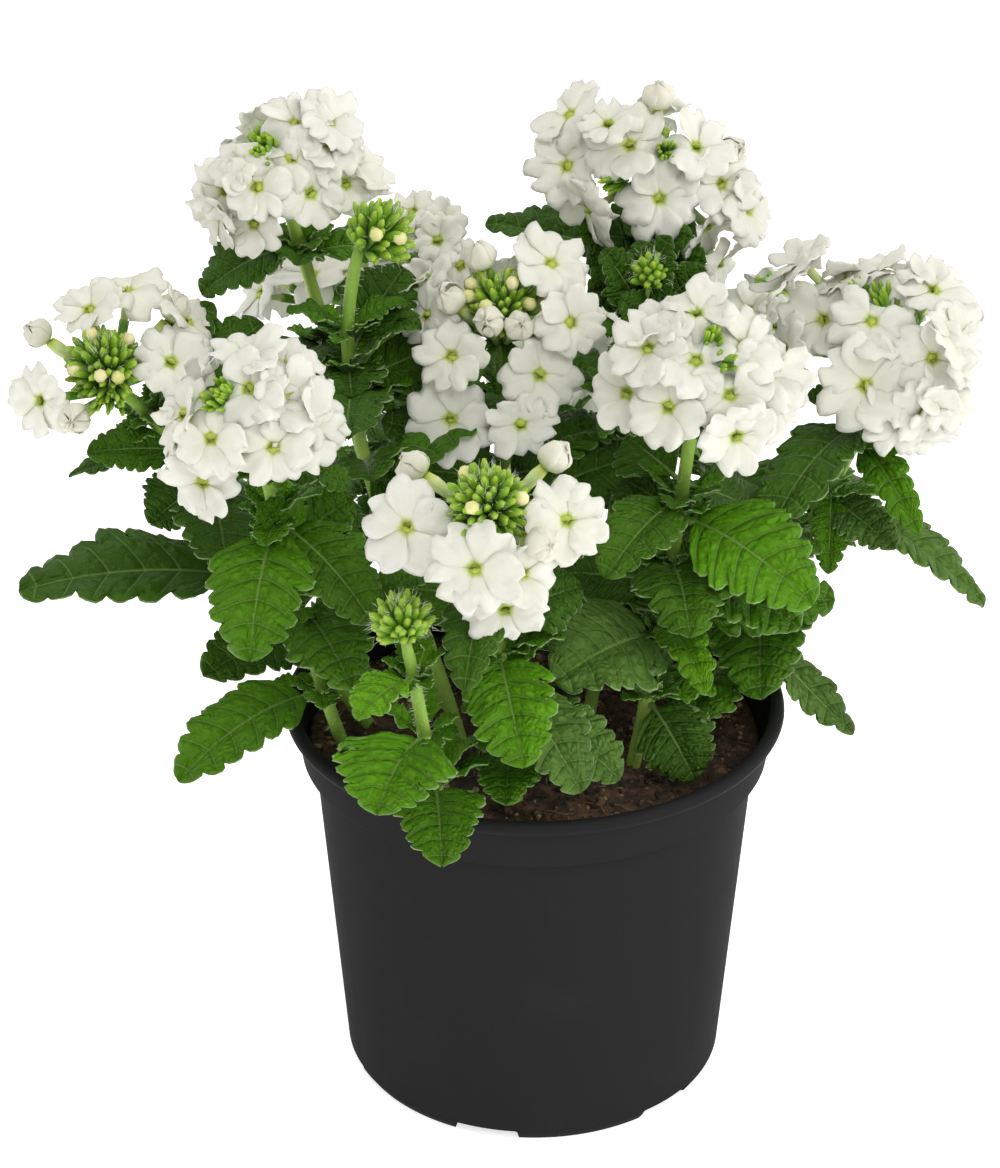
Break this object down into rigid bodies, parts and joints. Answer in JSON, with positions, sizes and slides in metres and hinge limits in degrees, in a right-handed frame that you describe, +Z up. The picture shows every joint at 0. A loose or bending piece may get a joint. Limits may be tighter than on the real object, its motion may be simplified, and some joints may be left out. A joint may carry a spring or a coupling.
{
  "type": "potted verbena",
  "caption": "White garden verbena in a round black nursery pot: toothed green leaves under rounded heads of five-lobed white florets, with green bud clusters.",
  "frame": {"origin": "on the pot's axis, at the surface that the pot stands on", "axes": "+Z up along the pot's axis, +X to the right and -Y towards the front, where the plant's bare soil and lowest flower head are"},
  "size_m": [0.227, 0.1973, 0.2463],
  "materials": {
    "pot_plastic": "charcoal black moulded plastic, semi-matt, with a smoother and slightly shinier lip",
    "potting_soil": "damp dark brown peat, crumbly and fully matt, with reddish fibres and pale specks",
    "foliage": "soft matt green leaves with sunken veins, pale edges and fine hairs, on paler square stems",
    "petals": "soft velvety white petals with a faint cream shade and a yellow-green throat"
  },
  "bodies": {
    "root": {"florets_back_centre": "petals", "florets_back_left": "petals", "florets_back_low": "petals", "florets_back_right": "petals", "florets_centre_high": "petals", "florets_centre_low": "petals", "florets_left_edge": "petals", "florets_left_front": "petals", "florets_mid_right": "petals", "florets_right_edge": "petals", "florets_top_left": "petals", "florets_top_right": "petals", "pot": "pot_plastic", "shoot_back_centre": "foliage", "shoot_back_left": "foliage", "shoot_back_low": "foliage", "shoot_back_right": "foliage", "shoot_bud_centre": "foliage", "shoot_bud_front": "foliage", "shoot_bud_left": "foliage", "shoot_centre_high": "foliage", "shoot_centre_low": "foliage", "shoot_leafy_back": "foliage", "shoot_left_edge": "foliage", "shoot_left_front": "foliage", "shoot_mid_right": "foliage", "shoot_right_edge": "foliage", "shoot_top_left": "foliage", "shoot_top_right": "foliage", "soil": "potting_soil"}
  },
  "joints": []
}
